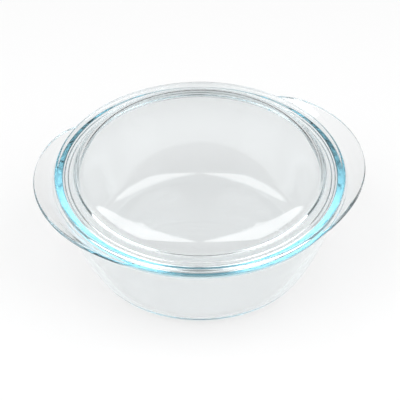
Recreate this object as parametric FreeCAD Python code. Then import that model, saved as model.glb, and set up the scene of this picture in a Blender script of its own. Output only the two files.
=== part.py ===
import FreeCAD, Part
import math
import os
from FreeCAD import Vector

# Round covered casserole dish in clear pressed glass, in two pieces: an open bowl whose
# flared wall carries two wide, turned-up handles, and a domed lid with no knob, whose flat
# flange lies on the bowl's rim with a low rib underneath that keeps it in the mouth.
# Millimetres. +Z up, the handles along X, the origin at the middle of the base.

# ---------------------------------------------------------------- driving dimensions
HANDLE_HEIGHT = 91.0         # from the base to the top of the turned-up handles
RIM_HEIGHT = 84.1            # from the base to the rim, where the lid lies
RIM_RADIUS = 125.0           # round part of the rim
HANDLE_SPAN = 285.0          # over both handles
HANDLE_ARC = 104.0           # radius of each handle's outer edge
HANDLE_BLEND = 50.0          # hollow curve between handle and rim
HANDLE_ROOT = 126.0          # where a handle starts to turn up from the rim
HANDLE_BEND = 132.5          # where its top side turns nearly level again
HANDLE_BEND_HEIGHT = 89.4
RIM_EDGE = 4.2               # height of the rim's outer edge
HANDLE_GLASS = 4.6           # thickness of a handle, measured upright
HANDLE_EDGE = 3.0            # the same at its outer end
MOUTH_ROUND = 1.0            # rounding where the rim turns down into the bowl

WALL_RADIUS = 122.0          # outside of the wall, just under the rim
WALL_TOP = 79.0              # the height where that radius is measured
WALL_RAKE = math.radians(15.0)   # lean of the wall's straight upper half
WALL_STRAIGHT = 50.0         # height where the straight half starts
WALL_ARC = 240.0             # radius of the slow curve below it, seen from the side
HEEL_RADIUS = 17.5           # outside of the turn from wall to base
GLASS = 6.0                  # thickness of wall and base

LID_RADIUS = 124.4           # outer edge of the lid's flange
LID_GAP = 0.3                # between the flange and the rim
FLANGE_THICKNESS = 5.4       # its outer edge is fully rounded
LID_GLASS = 4.2              # thickness of the dome
DOME_TOP = 115.0             # top of the dome above the base
CROWN_RADIUS = 370.0         # outside of the flat crown
SHOULDER_RADIUS = 16.0       # outside of the turn from crown to the dome's side
SHOULDER_CENTRE = 92.0       # distance of that turn's centre from the axis
SHOULDER_TURN = math.radians(66.0)    # slope of the dome's side
FOOT_ROUND = 2.5             # hollow between the dome's side and the flange
RIB_RADIUS = 115.5           # outside of the rib under the flange
RIB_WIDTH = 3.4
RIB_DEPTH = 3.0              # how far the rib reaches below the flange
RIB_ROUND = 1.2

OVERRUN = 20.0               # how far a cutting solid reaches past what it cuts

# ---------------------------------------------------------------- derived levels
FLANGE_FLOOR = RIM_HEIGHT + LID_GAP
FLANGE_TOP = FLANGE_FLOOR + FLANGE_THICKNESS
RIB_FLOOR = FLANGE_FLOOR - RIB_DEPTH


def circle_arc(centre_x, centre_y, height, radius, start, end):
    """Arc about an upright axis, from one angle to the other, in radians."""
    circle = Part.Circle(Vector(centre_x, centre_y, height), Vector(0, 0, 1), radius)
    return Part.ArcOfCircle(circle, start, end).toShape()


def rim_outline(height):
    """Outline of the rim: a circle with a wide handle at each end of X, every corner blended."""
    handle_centre = HANDLE_SPAN / 2 - HANDLE_ARC
    reach = RIM_RADIUS + HANDLE_BLEND
    along = (reach**2 - (HANDLE_ARC + HANDLE_BLEND)**2 + handle_centre**2) / (2 * handle_centre)
    across = math.sqrt(reach**2 - along**2)
    rim = math.atan2(across, along)
    end = math.atan2(across, along - handle_centre)
    pi = math.pi
    arcs = [
        circle_arc(handle_centre, 0, height, HANDLE_ARC, -end, end),
        circle_arc(along, across, height, HANDLE_BLEND, pi + rim, pi + end),
        circle_arc(0, 0, height, RIM_RADIUS, rim, pi - rim),
        circle_arc(-along, across, height, HANDLE_BLEND, 2 * pi - end, 2 * pi - rim),
        circle_arc(-handle_centre, 0, height, HANDLE_ARC, pi - end, pi + end),
        circle_arc(-along, -across, height, HANDLE_BLEND, rim, end),
        circle_arc(0, 0, height, RIM_RADIUS, pi + rim, 2 * pi - rim),
        circle_arc(along, -across, height, HANDLE_BLEND, pi - end, pi - rim),
    ]
    return Part.Wire(arcs)


def turned(points_and_arcs):
    """Solid turned about Z from a closed profile of lines and arcs in the XZ plane.

    Each item is (x, z), or (x, z, via_x, via_z) for an arc that ends at x, z."""
    edges = []
    last = Vector(points_and_arcs[0][0], 0, points_and_arcs[0][1])
    for item in points_and_arcs[1:] + points_and_arcs[:1]:
        point = Vector(item[0], 0, item[1])
        if len(item) == 4:
            edges.append(Part.Arc(last, Vector(item[2], 0, item[3]), point).toShape())
        elif (point - last).Length > 1e-6:
            edges.append(Part.makeLine(last, point))
        last = point
    face = Part.Face(Part.Wire(edges))
    return face.revolve(Vector(0, 0, 0), Vector(0, 0, 1), 360)


def on_circle(centre, radius, angle):
    """Point of a profile circle, the angle measured from the level outward direction."""
    return centre[0] + radius * math.cos(angle), centre[1] + radius * math.sin(angle)


def arc_item(centre, radius, start, end):
    """Profile arc for turned(): its end, then a point half-way along it."""
    return on_circle(centre, radius, end) + on_circle(centre, radius, (start + end) / 2)


def edges_at(shape, height, nearest, furthest):
    """Level edges at a height whose distance from the axis lies between two limits."""
    found = []
    for edge in shape.Edges:
        box = edge.BoundBox
        level = abs(box.ZMin - height) < 1e-4 and abs(box.ZMax - height) < 1e-4
        middle = edge.valueAt((edge.FirstParameter + edge.LastParameter) / 2)
        if level and nearest < math.hypot(middle.x, middle.y) < furthest:
            found.append(edge)
    return found


def wall_face(inset):
    """Profile items from the edge of the base up to the top of the raked wall.

    The items follow the outside of the bowl, or its inside when inset by the glass."""
    straight_radius = WALL_RADIUS - (WALL_TOP - WALL_STRAIGHT) * math.tan(WALL_RAKE)
    wall_centre = on_circle((straight_radius, WALL_STRAIGHT), -WALL_ARC, -WALL_RAKE)
    reach = WALL_ARC - HEEL_RADIUS
    turn = math.asin((wall_centre[1] - HEEL_RADIUS) / reach)
    heel_centre = on_circle(wall_centre, reach, -turn)
    top = on_circle(wall_centre, WALL_ARC - inset, -WALL_RAKE)
    rise = RIM_HEIGHT - top[1]
    return [
        (heel_centre[0], inset),
        arc_item(heel_centre, HEEL_RADIUS - inset, -math.pi / 2, -turn),
        arc_item(wall_centre, WALL_ARC - inset, -turn, -WALL_RAKE),
        (top[0] + rise * math.tan(WALL_RAKE), RIM_HEIGHT),
    ]


def make_bowl():
    """Bowl with its raked wall, its rim and both turned-up handles."""
    outside = wall_face(0)
    inside = wall_face(GLASS)
    reach = HANDLE_SPAN / 2
    core = turned([(0, 0)] + outside + [(0, RIM_HEIGHT)])
    dish = turned([
        (0, RIM_HEIGHT),
        (0, RIM_HEIGHT - RIM_EDGE),
        (RIM_RADIUS, RIM_HEIGHT - RIM_EDGE),
        (HANDLE_BEND, HANDLE_BEND_HEIGHT - HANDLE_GLASS),
        (reach, HANDLE_HEIGHT - HANDLE_EDGE),
        (reach + OVERRUN, HANDLE_HEIGHT - HANDLE_EDGE),
        (reach + OVERRUN, HANDLE_HEIGHT),
        (reach, HANDLE_HEIGHT),
        (HANDLE_BEND, HANDLE_BEND_HEIGHT),
        (HANDLE_ROOT, RIM_HEIGHT),
    ])
    outline = Part.Face(rim_outline(0)).extrude(Vector(0, 0, HANDLE_HEIGHT + OVERRUN))
    rim = dish.common(outline)
    cavity = turned([(0, GLASS)] + inside + [
        (inside[-1][0], RIM_HEIGHT + OVERRUN),
        (0, RIM_HEIGHT + OVERRUN),
    ])
    bowl = core.fuse(rim).cut(cavity).removeSplitter()
    mouth = inside[-1][0]
    return bowl.makeFillet(MOUTH_ROUND, edges_at(bowl, RIM_HEIGHT, mouth - 1, mouth + 1))


def dome_side(inset):
    """Profile items down the crown, the shoulder and the straight side, with their end."""
    crown_centre = (0, DOME_TOP - CROWN_RADIUS)
    reach = CROWN_RADIUS - SHOULDER_RADIUS
    crown_turn = math.asin(SHOULDER_CENTRE / reach)
    up = math.pi / 2
    shoulder_centre = on_circle(crown_centre, reach, up - crown_turn)
    crown_radius, shoulder_radius = CROWN_RADIUS - inset, SHOULDER_RADIUS - inset
    shoulder_end = on_circle(shoulder_centre, shoulder_radius, up - SHOULDER_TURN)
    foot_radius = shoulder_end[0] + (shoulder_end[1] - FLANGE_TOP) / math.tan(SHOULDER_TURN)
    return [
        (0, DOME_TOP - inset),
        arc_item(crown_centre, crown_radius, up, up - crown_turn),
        arc_item(shoulder_centre, shoulder_radius, up - crown_turn, up - SHOULDER_TURN),
        (foot_radius, FLANGE_TOP),
    ]


def make_lid():
    """Domed lid: crown, steep side, flat flange, and the rib underneath."""
    outer = dome_side(0)
    inner = dome_side(LID_GLASS)
    foot_radius = outer[-1][0]
    edge_round = FLANGE_THICKNESS / 2
    edge_centre = (LID_RADIUS - edge_round, FLANGE_FLOOR + edge_round)
    lid = turned(outer + [
        (LID_RADIUS - edge_round, FLANGE_TOP),
        arc_item(edge_centre, edge_round, math.pi / 2, -math.pi / 2),
        (RIB_RADIUS, FLANGE_FLOOR),
        (RIB_RADIUS, RIB_FLOOR),
        (RIB_RADIUS - RIB_WIDTH, RIB_FLOOR),
        (RIB_RADIUS - RIB_WIDTH, FLANGE_FLOOR),
        (0, FLANGE_FLOOR),
    ])
    hollow = turned(inner + [
        (inner[-1][0], FLANGE_FLOOR - OVERRUN),
        (0, FLANGE_FLOOR - OVERRUN),
    ])
    lid = lid.makeFillet(FOOT_ROUND, edges_at(lid, FLANGE_TOP, foot_radius - 1, foot_radius + 1))
    lid = lid.makeFillet(RIB_ROUND, edges_at(lid, RIB_FLOOR, 0, LID_RADIUS))
    return lid.cut(hollow)


def export(shape, name):
    """Check one piece and write it to parts/."""
    if not shape.isValid() or len(shape.Solids) != 1:
        raise RuntimeError(name + " is not one valid solid")
    solid = shape.Solids[0]
    solid.exportStep(os.path.join("parts", name + ".step"))
    box = solid.BoundBox
    print(name, "volume %.0f" % solid.Volume, "x %.2f" % box.XLength, "y %.2f" % box.YLength,
          "z %.2f to %.2f" % (box.ZMin, box.ZMax))


os.makedirs("parts", exist_ok=True)
export(make_bowl(), "bowl")
export(make_lid(), "lid")
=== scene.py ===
import math

import bpy
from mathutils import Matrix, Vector


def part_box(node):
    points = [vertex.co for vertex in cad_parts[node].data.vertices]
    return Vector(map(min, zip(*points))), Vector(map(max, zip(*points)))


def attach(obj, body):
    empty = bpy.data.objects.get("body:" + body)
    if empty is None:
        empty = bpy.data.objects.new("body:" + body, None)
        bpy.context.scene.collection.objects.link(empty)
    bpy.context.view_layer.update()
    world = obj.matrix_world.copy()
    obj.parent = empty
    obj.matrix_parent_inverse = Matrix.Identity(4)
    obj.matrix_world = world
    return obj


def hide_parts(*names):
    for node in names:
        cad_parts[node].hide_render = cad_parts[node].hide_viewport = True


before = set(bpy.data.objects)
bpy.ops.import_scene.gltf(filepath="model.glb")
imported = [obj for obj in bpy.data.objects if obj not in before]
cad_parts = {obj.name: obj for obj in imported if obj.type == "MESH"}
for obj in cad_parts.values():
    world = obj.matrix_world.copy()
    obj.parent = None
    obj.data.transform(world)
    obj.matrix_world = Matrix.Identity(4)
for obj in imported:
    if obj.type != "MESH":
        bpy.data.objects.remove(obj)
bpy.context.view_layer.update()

# Round covered casserole dish in clear pressed glass, in two pieces: the bowl and the lid.
# Each is one closed smooth skin swept round the axis from a section. The points of a section
# are (distance from the axis, level) in millimetres, and the outer sizes come from the frame.
MM = 0.001
bowl_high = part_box("bowl")[1] / MM
lid_low, lid_high = (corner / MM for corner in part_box("lid"))

# ---------------------------------------------------------------- bowl
HANDLE_TOP = bowl_high.z
HANDLE_REACH = bowl_high.x      # from the axis to the end of a handle
HANDLE_ARC = 104.0              # radius of each handle's outer edge
HANDLE_BLEND = 50.0             # hollow curve between handle and rim
HANDLE_RISE = 6.9               # from the top of the rim up to the end of a handle
HANDLE_ROOT = 126.0             # where a handle starts to turn up from the rim
HANDLE_BEND = 132.5             # where it turns nearly level again
HANDLE_BEND_DROP = 1.6          # how far its top lies below the handle's end there
HANDLE_GLASS = 4.6              # thickness of a handle at that bend
HANDLE_EDGE = 3.0               # thickness at its end

RIM_RADIUS = bowl_high.y        # round part of the rim
RIM_EDGE = 4.2                  # thickness of the rim
RIM_TOP = HANDLE_TOP - HANDLE_RISE
RIM_FLOOR = RIM_TOP - RIM_EDGE

WALL_RADIUS = 122.0             # outside of the wall, just under the rim
WALL_TOP = 79.0                 # the level where that radius is measured
WALL_RAKE = 15.0                # lean of the wall's straight upper half, in degrees
WALL_STRAIGHT = 50.0            # level where the straight half starts
WALL_ARC = 240.0                # slow curve below it, seen from the side
HEEL_RADIUS = 17.5              # outside of the turn from wall to base
GLASS = 6.0                     # thickness of wall and base

# The upper and the under side of rim and handles, from the axis to the end of a handle.
RIM_UPPER = [
    (0, RIM_TOP),
    (HANDLE_ROOT, RIM_TOP),
    (HANDLE_BEND, HANDLE_TOP - HANDLE_BEND_DROP),
    (HANDLE_REACH, HANDLE_TOP),
]
RIM_UNDER = [
    (0, RIM_FLOOR),
    (RIM_RADIUS, RIM_FLOOR),
    (HANDLE_BEND, HANDLE_TOP - HANDLE_BEND_DROP - HANDLE_GLASS),
    (HANDLE_REACH, HANDLE_TOP - HANDLE_EDGE),
]

# A corner's setback is how far before and after the corner its rounding starts and ends.
NECK_SETBACK = 0.5              # under the rim, where it meets the wall
EDGE_FLOOR_SETBACK = 1.2        # outer edge of rim and handles
EDGE_TOP_SETBACK = 1.6
MOUTH_SETBACK = 0.8             # inner edge of the rim

# Gaps between the ends of the rim's two sides and the corners or roundings next to them.
NECK_GAP = 0.6
EDGE_GAP = 0.2
MOUTH_GAP = 2.0

# ---------------------------------------------------------------- lid
DOME_TOP = lid_high.z
CROWN_RADIUS = 370.0
SHOULDER_RADIUS = 16.0
SHOULDER_CENTRE = 92.0          # distance of the shoulder's centre from the axis
SHOULDER_TURN = 66.0            # slope of the dome's side, in degrees
LID_GLASS = 4.2                 # thickness of the dome
LID_RADIUS = lid_high.x
LID_GAP = 0.3                   # between the flange and the rim
FLANGE_GLASS = 5.4              # thickness of the flange
FLANGE_FLOOR = RIM_TOP + LID_GAP
FLANGE_TOP = FLANGE_FLOOR + FLANGE_GLASS
RIB_FLOOR = lid_low.z
RIB_RADIUS = 115.5              # outside of the rib that keeps the lid in the mouth
RIB_WIDTH = 3.4

DOME_FOOT_SETBACK = 1.6         # outside, where the dome meets the flange
DOME_KNEE_SETBACK = 0.6         # inside, where the dome's side turns upright
HOLLOW_SETBACK = 1.0            # lower edge of the hollow
FLANGE_EDGE_SETBACK = 2.6       # nearly half the flange, so that its edge is almost a half round
RIB_ROOT_SETBACK = 0.6
RIB_EDGE_SETBACK = 1.2

# ---------------------------------------------------------------- fineness of the skins
ROUND_STEPS = 360               # steps round the axis
ROUND_ANGLES = [2 * math.pi * step / ROUND_STEPS for step in range(ROUND_STEPS)]
CORNER_STEPS = 8                # steps round a small corner
RIM_STEPS = 16                  # steps along each side of the rim
BASE_STEPS = 10
HEEL_STEPS = 20
WALL_STEPS = 16
CROWN_STEPS = 24
SHOULDER_STEPS = 16
RUN_STEPS = 3                   # steps along any other straight run
RUN_END = 0.4                   # distance from a run's ends to the points closest to them
RUN_END_SHARE = 0.15            # the most that this may be of the run's length


def rim_reach(angle):
    """Distance from the axis to the edge of the rim: a circle with a handle at each end of X."""
    along, across = abs(math.cos(angle)), abs(math.sin(angle))
    handle_centre = HANDLE_REACH - HANDLE_ARC
    far = RIM_RADIUS + HANDLE_BLEND
    blend_x = (far**2 - (HANDLE_ARC + HANDLE_BLEND)**2 + handle_centre**2) / (2 * handle_centre)
    blend_y = math.sqrt(far**2 - blend_x**2)
    turn = math.atan2(blend_y, blend_x - handle_centre)
    handle_end = math.atan2(HANDLE_ARC * math.sin(turn), handle_centre + HANDLE_ARC * math.cos(turn))
    folded = math.atan2(across, along)
    if folded < handle_end:
        return handle_centre * along + math.sqrt(HANDLE_ARC**2 - (handle_centre * across)**2)
    if folded < math.atan2(blend_y, blend_x):
        middle = blend_x * along + blend_y * across
        return middle - math.sqrt(HANDLE_BLEND**2 - far**2 + middle**2)
    return RIM_RADIUS


def level_at(distance, side):
    """Level of the rim's upper or under side at a distance from the axis."""
    for near, far in zip(side, side[1:]):
        if distance <= far[0]:
            return near[1] + (far[1] - near[1]) * (distance - near[0]) / (far[0] - near[0])
    return side[-1][1]


def on_circle(centre, radius, turn):
    """Point of a circle; the turn is in degrees from the level outward direction."""
    angle = math.radians(turn)
    return centre + radius * Vector((math.cos(angle), math.sin(angle)))


def arc(centre, radius, start, end, steps):
    """Points along an arc, from one turn to another."""
    turns = [start + (end - start) * step / steps for step in range(steps + 1)]
    return [on_circle(centre, radius, turn) for turn in turns]


def run(start, end, steps=RUN_STEPS):
    """Points inside a straight run, with one close to each end so that it shades flat."""
    close = min(RUN_END / (end - start).length, RUN_END_SHARE)
    shares = [close] + [step / steps for step in range(1, steps)] + [1 - close]
    return [start.lerp(end, share) for share in shares]


def rounded(start, corners, end):
    """Points between start and end, round corners given as (distance, level, setback)."""
    spots = [start] + [Vector(corner[:2]) for corner in corners] + [end]
    line = [start]
    for before, spot, after, corner in zip(spots, spots[1:], spots[2:], corners):
        setback = corner[2]
        to_before, to_after = (before - spot).normalized(), (after - spot).normalized()
        half = to_before.angle(to_after) / 2
        centre = spot + (to_before + to_after).normalized() * setback / math.cos(half)
        first, last = spot + to_before * setback, spot + to_after * setback
        line += run(line[-1], first)
        offset = first - centre
        sweep = offset.angle_signed(last - centre)
        for step in range(CORNER_STEPS + 1):
            turn = -sweep * step / CORNER_STEPS
            line.append(centre + Vector((
                offset.x * math.cos(turn) - offset.y * math.sin(turn),
                offset.x * math.sin(turn) + offset.y * math.cos(turn),
            )))
    return line[1:] + run(line[-1], end)


def wall_line(inset, top_level):
    """The bowl's base, heel and wall, on the outside or inset, and the corner at their top."""
    rake = math.radians(WALL_RAKE)
    straight_radius = WALL_RADIUS - (WALL_TOP - WALL_STRAIGHT) * math.tan(rake)
    wall_centre = Vector((straight_radius, WALL_STRAIGHT))
    wall_centre -= WALL_ARC * Vector((math.cos(rake), -math.sin(rake)))
    reach = WALL_ARC - HEEL_RADIUS
    turn = math.degrees(math.asin((wall_centre.y - HEEL_RADIUS) / reach))
    heel_centre = on_circle(wall_centre, reach, -turn)
    heel = arc(heel_centre, HEEL_RADIUS - inset, -90, -turn, HEEL_STEPS)
    wall = arc(wall_centre, WALL_ARC - inset, -turn, -WALL_RAKE, WALL_STEPS)
    top = wall[-1] + (top_level - wall[-1].y) * Vector((math.tan(rake), 1))
    middle = Vector((0, heel[0].y))
    base = [middle] + run(middle, heel[0], BASE_STEPS)
    # The run's last point is left out: it would lie inside the rounding of that corner.
    return base + heel + wall[1:] + run(wall[-1], top)[:-1], top


def rim_side(start, end, side):
    """Points along the rim's upper or under side, from one distance to another."""
    points = []
    for step in range(RIM_STEPS + 1):
        distance = start + (end - start) * step / RIM_STEPS
        points.append(Vector((distance, level_at(distance, side))))
    return points


def bowl_section(angle):
    """The bowl's section at an angle: under the base, over the rim and back inside."""
    rim = rim_reach(angle)
    outside, neck = wall_line(0, RIM_FLOOR)
    inside, mouth = wall_line(GLASS, RIM_TOP)
    under = rim_side(neck.x + NECK_GAP, rim - EDGE_FLOOR_SETBACK - EDGE_GAP, RIM_UNDER)
    upper = rim_side(rim - EDGE_TOP_SETBACK - EDGE_GAP, mouth.x + MOUTH_GAP, RIM_UPPER)
    neck_line = rounded(outside[-1], [(*neck, NECK_SETBACK)], under[0])
    edge_line = rounded(under[-1], [
        (rim, level_at(rim, RIM_UNDER), EDGE_FLOOR_SETBACK),
        (rim, level_at(rim, RIM_UPPER), EDGE_TOP_SETBACK),
    ], upper[0])
    mouth_line = rounded(upper[-1], [(*mouth, MOUTH_SETBACK)], inside[-1])
    return outside + neck_line + under + edge_line + upper + mouth_line + inside[::-1]


def dome_line(inset):
    """The dome's crown and shoulder from the top down, and the foot of its straight side."""
    crown_centre = Vector((0, DOME_TOP - CROWN_RADIUS))
    reach = CROWN_RADIUS - SHOULDER_RADIUS
    crown_turn = 90 - math.degrees(math.asin(SHOULDER_CENTRE / reach))
    side_turn = 90 - SHOULDER_TURN
    shoulder_centre = on_circle(crown_centre, reach, crown_turn)
    crown = arc(crown_centre, CROWN_RADIUS - inset, 90, crown_turn, CROWN_STEPS)
    shoulder = arc(shoulder_centre, SHOULDER_RADIUS - inset, crown_turn, side_turn, SHOULDER_STEPS)
    drop = shoulder[-1].y - FLANGE_TOP
    foot = shoulder[-1].x + drop / math.tan(math.radians(SHOULDER_TURN))
    return crown + shoulder[1:], foot


def lid_section():
    """The lid's section: inside the dome, round rib and flange and back over the dome."""
    outside, foot = dome_line(0)
    inside, inner_foot = dome_line(LID_GLASS)
    rib_inside = RIB_RADIUS - RIB_WIDTH
    flange_line = rounded(inside[-1], [
        (inner_foot, FLANGE_TOP, DOME_KNEE_SETBACK),
        (inner_foot, FLANGE_FLOOR, HOLLOW_SETBACK),
        (rib_inside, FLANGE_FLOOR, RIB_ROOT_SETBACK),
        (rib_inside, RIB_FLOOR, RIB_EDGE_SETBACK),
        (RIB_RADIUS, RIB_FLOOR, RIB_EDGE_SETBACK),
        (RIB_RADIUS, FLANGE_FLOOR, RIB_ROOT_SETBACK),
        (LID_RADIUS, FLANGE_FLOOR, FLANGE_EDGE_SETBACK),
        (LID_RADIUS, FLANGE_TOP, FLANGE_EDGE_SETBACK),
        (foot, FLANGE_TOP, DOME_FOOT_SETBACK),
    ], outside[-1])
    return inside + flange_line + outside[::-1]


def swept(name, sections):
    """Closed smooth mesh through one section for each of the angles round the axis.

    Every section starts and ends on the axis, where the mesh has a point of its own."""
    columns = []
    for angle, section in zip(ROUND_ANGLES, sections):
        columns.append([
            (point.x * math.cos(angle) * MM, point.x * math.sin(angle) * MM, point.y * MM)
            for point in section[1:-1]
        ])
    rows = len(columns[0])
    vertices = [spot for column in columns for spot in column]
    vertices += [(0, 0, end.y * MM) for end in (sections[0][0], sections[0][-1])]
    first_pole, last_pole = len(vertices) - 2, len(vertices) - 1
    faces = []
    for step in range(ROUND_STEPS):
        here, there = step * rows, (step + 1) % ROUND_STEPS * rows
        faces.append((first_pole, there, here))
        for row in range(rows - 1):
            faces.append((here + row, there + row, there + row + 1, here + row + 1))
        faces.append((last_pole, here + rows - 1, there + rows - 1))
    mesh = bpy.data.meshes.new(name)
    mesh.from_pydata(vertices, [], faces)
    mesh.polygons.foreach_set("use_smooth", [True] * len(faces))
    mesh.update()
    piece = bpy.data.objects.new(name, mesh)
    bpy.context.collection.objects.link(piece)
    return piece


# ---------------------------------------------------------------- materials
GLASS_IOR = 1.474
GLASS_BODY = (0.2, 0.75, 0.88, 1)   # colour of the light that gets through thick glass
GLASS_BODY_DENSITY = 4.5
WAVE_SCALE = 28.0                   # slow waves that pressing leaves in the faces
WAVE_DETAIL = 1.5
WAVE_STRENGTH = 0.15
WAVE_HEIGHT = 0.0005
DULL_WAVES = (0.45, 0.75)           # the polish falls off between these heights of a wave
DULL_ROUGHNESS = (0.0, 0.03)
WHITE = (1, 1, 1, 1)


def new_material(name):
    """Material and its Principled shader."""
    material = bpy.data.materials.new(name)
    material.use_nodes = True
    return material, material.node_tree.nodes["Principled BSDF"]


def link_graded(tree, source, source_range, target, target_range):
    """Link two sockets so that one range of the source's values becomes another range."""
    grade = tree.nodes.new("ShaderNodeMapRange")
    grade.inputs["From Min"].default_value, grade.inputs["From Max"].default_value = source_range
    grade.inputs["To Min"].default_value, grade.inputs["To Max"].default_value = target_range
    tree.links.new(source, grade.inputs["Value"])
    tree.links.new(grade.outputs["Result"], target)


def glass_material(name):
    """Clear pressed glass with a faint blue-green body and slightly uneven faces."""
    material, shader = new_material(name)
    tree = material.node_tree
    nodes, links = tree.nodes, tree.links
    shader.inputs["Base Color"].default_value = WHITE
    shader.inputs["Transmission Weight"].default_value = 1.0
    shader.inputs["IOR"].default_value = GLASS_IOR

    place = nodes.new("ShaderNodeTexCoord")
    waves = nodes.new("ShaderNodeTexNoise")
    waves.inputs["Scale"].default_value = WAVE_SCALE
    waves.inputs["Detail"].default_value = WAVE_DETAIL
    links.new(place.outputs["Object"], waves.inputs["Vector"])
    bump = nodes.new("ShaderNodeBump")
    bump.inputs["Strength"].default_value = WAVE_STRENGTH
    bump.inputs["Distance"].default_value = WAVE_HEIGHT
    links.new(waves.outputs["Fac"], bump.inputs["Height"])
    links.new(bump.outputs["Normal"], shader.inputs["Normal"])
    link_graded(tree, waves.outputs["Fac"], DULL_WAVES, shader.inputs["Roughness"], DULL_ROUGHNESS)

    body = nodes.new("ShaderNodeVolumeAbsorption")
    body.inputs["Color"].default_value = GLASS_BODY
    body.inputs["Density"].default_value = GLASS_BODY_DENSITY
    links.new(body.outputs["Volume"], nodes["Material Output"].inputs["Volume"])
    return material


glass = glass_material("clear_glass")
bowl = swept("bowl_glass", [bowl_section(angle) for angle in ROUND_ANGLES])
lid = swept("lid_glass", [lid_section()] * ROUND_STEPS)
# Each body has one CAD node, and the same name as that node.
for piece, node in ((bowl, "bowl"), (lid, "lid")):
    piece.data.materials.append(glass)
    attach(piece, node)
    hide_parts(node)

# ---------------------------------------------------------------- stage
FLOOR_SIZE = 30
FLOOR_DROP = 0.0005                 # below the base, so that the two don't coincide
FLOOR_GREY = (0.2, 0.2, 0.2, 1)
FLOOR_GLOW = 0.71
CAMERA_AZIMUTH = -13.7              # in degrees; 0 is on the -Y side
CAMERA_ELEVATION = 40.35
CAMERA_DISTANCE = 1.6
CAMERA_LENS = 169.0
CAMERA_AIM = Vector((0, 0, 0.0557))
SOFTBOX_TURN = 72                   # each softbox stands this far to one side of the camera
SOFTBOX_ELEVATION = 50
SOFTBOX_DISTANCE = 1.2
SOFTBOX_WIDTH = 1.2
SOFTBOX_HEIGHT = 1.4
SOFTBOX_POWER = 16
ROOM_HEIGHTS = (0.35, 0.9)          # from the horizon at 0 to straight up at 1
ROOM_BRIGHTNESS = (0.0, 0.5)
STAGE_CENTRE = Vector((0, 0, HANDLE_TOP * MM))


def placed(azimuth, elevation, distance):
    """Point at a distance from the stage's centre, in a direction given in degrees."""
    turn, rise = math.radians(azimuth), math.radians(elevation)
    level = math.cos(rise)
    direction = Vector((math.sin(turn) * level, -math.cos(turn) * level, math.sin(rise)))
    return STAGE_CENTRE + distance * direction


def aim(item, target):
    """Turn a camera or a light towards a point."""
    item.rotation_euler = (target - item.location).to_track_quat("-Z", "Y").to_euler()


def softbox(name, azimuth):
    """Large soft light aimed at the dish, which the camera doesn't see."""
    data = bpy.data.lights.new(name, "AREA")
    data.shape = "RECTANGLE"
    data.size = SOFTBOX_WIDTH
    data.size_y = SOFTBOX_HEIGHT
    data.energy = SOFTBOX_POWER
    light = bpy.data.objects.new(name, data)
    bpy.context.collection.objects.link(light)
    light.location = placed(azimuth, SOFTBOX_ELEVATION, SOFTBOX_DISTANCE)
    aim(light, STAGE_CENTRE)
    light.visible_camera = False


floor_material, floor_shader = new_material("floor")
floor_shader.inputs["Base Color"].default_value = FLOOR_GREY
floor_shader.inputs["Roughness"].default_value = 1.0
floor_shader.inputs["Emission Color"].default_value = WHITE
floor_shader.inputs["Emission Strength"].default_value = FLOOR_GLOW
bpy.ops.mesh.primitive_plane_add(size=FLOOR_SIZE)
floor = bpy.context.object
floor.name = "floor"
floor.location.z = -FLOOR_DROP
floor.data.materials.append(floor_material)

camera_data = bpy.data.cameras.new("camera")
camera_data.lens = CAMERA_LENS
camera = bpy.data.objects.new("camera", camera_data)
bpy.context.collection.objects.link(camera)
camera.location = placed(CAMERA_AZIMUTH, CAMERA_ELEVATION, CAMERA_DISTANCE)
aim(camera, CAMERA_AIM)
bpy.context.scene.camera = camera

softbox("softbox_left", CAMERA_AZIMUTH - SOFTBOX_TURN)
softbox("softbox_right", CAMERA_AZIMUTH + SOFTBOX_TURN)

# The room is dark round the horizon and brighter overhead, which draws the edges of the glass.
world = bpy.data.worlds.new("studio")
bpy.context.scene.world = world
world.use_nodes = True
room = world.node_tree
background = room.nodes["Background"]
background.inputs["Color"].default_value = WHITE
direction = room.nodes.new("ShaderNodeTexCoord")
split = room.nodes.new("ShaderNodeSeparateXYZ")
room.links.new(direction.outputs["Generated"], split.inputs["Vector"])
link_graded(room, split.outputs["Z"], ROOM_HEIGHTS, background.inputs["Strength"], ROOM_BRIGHTNESS)

# Light that runs along inside the glass needs many bounces before it comes out.
scene = bpy.context.scene
scene.view_settings.view_transform = "Standard"
scene.cycles.max_bounces = 64
scene.cycles.transmission_bounces = 64
scene.cycles.glossy_bounces = 32
scene.cycles.diffuse_bounces = 4
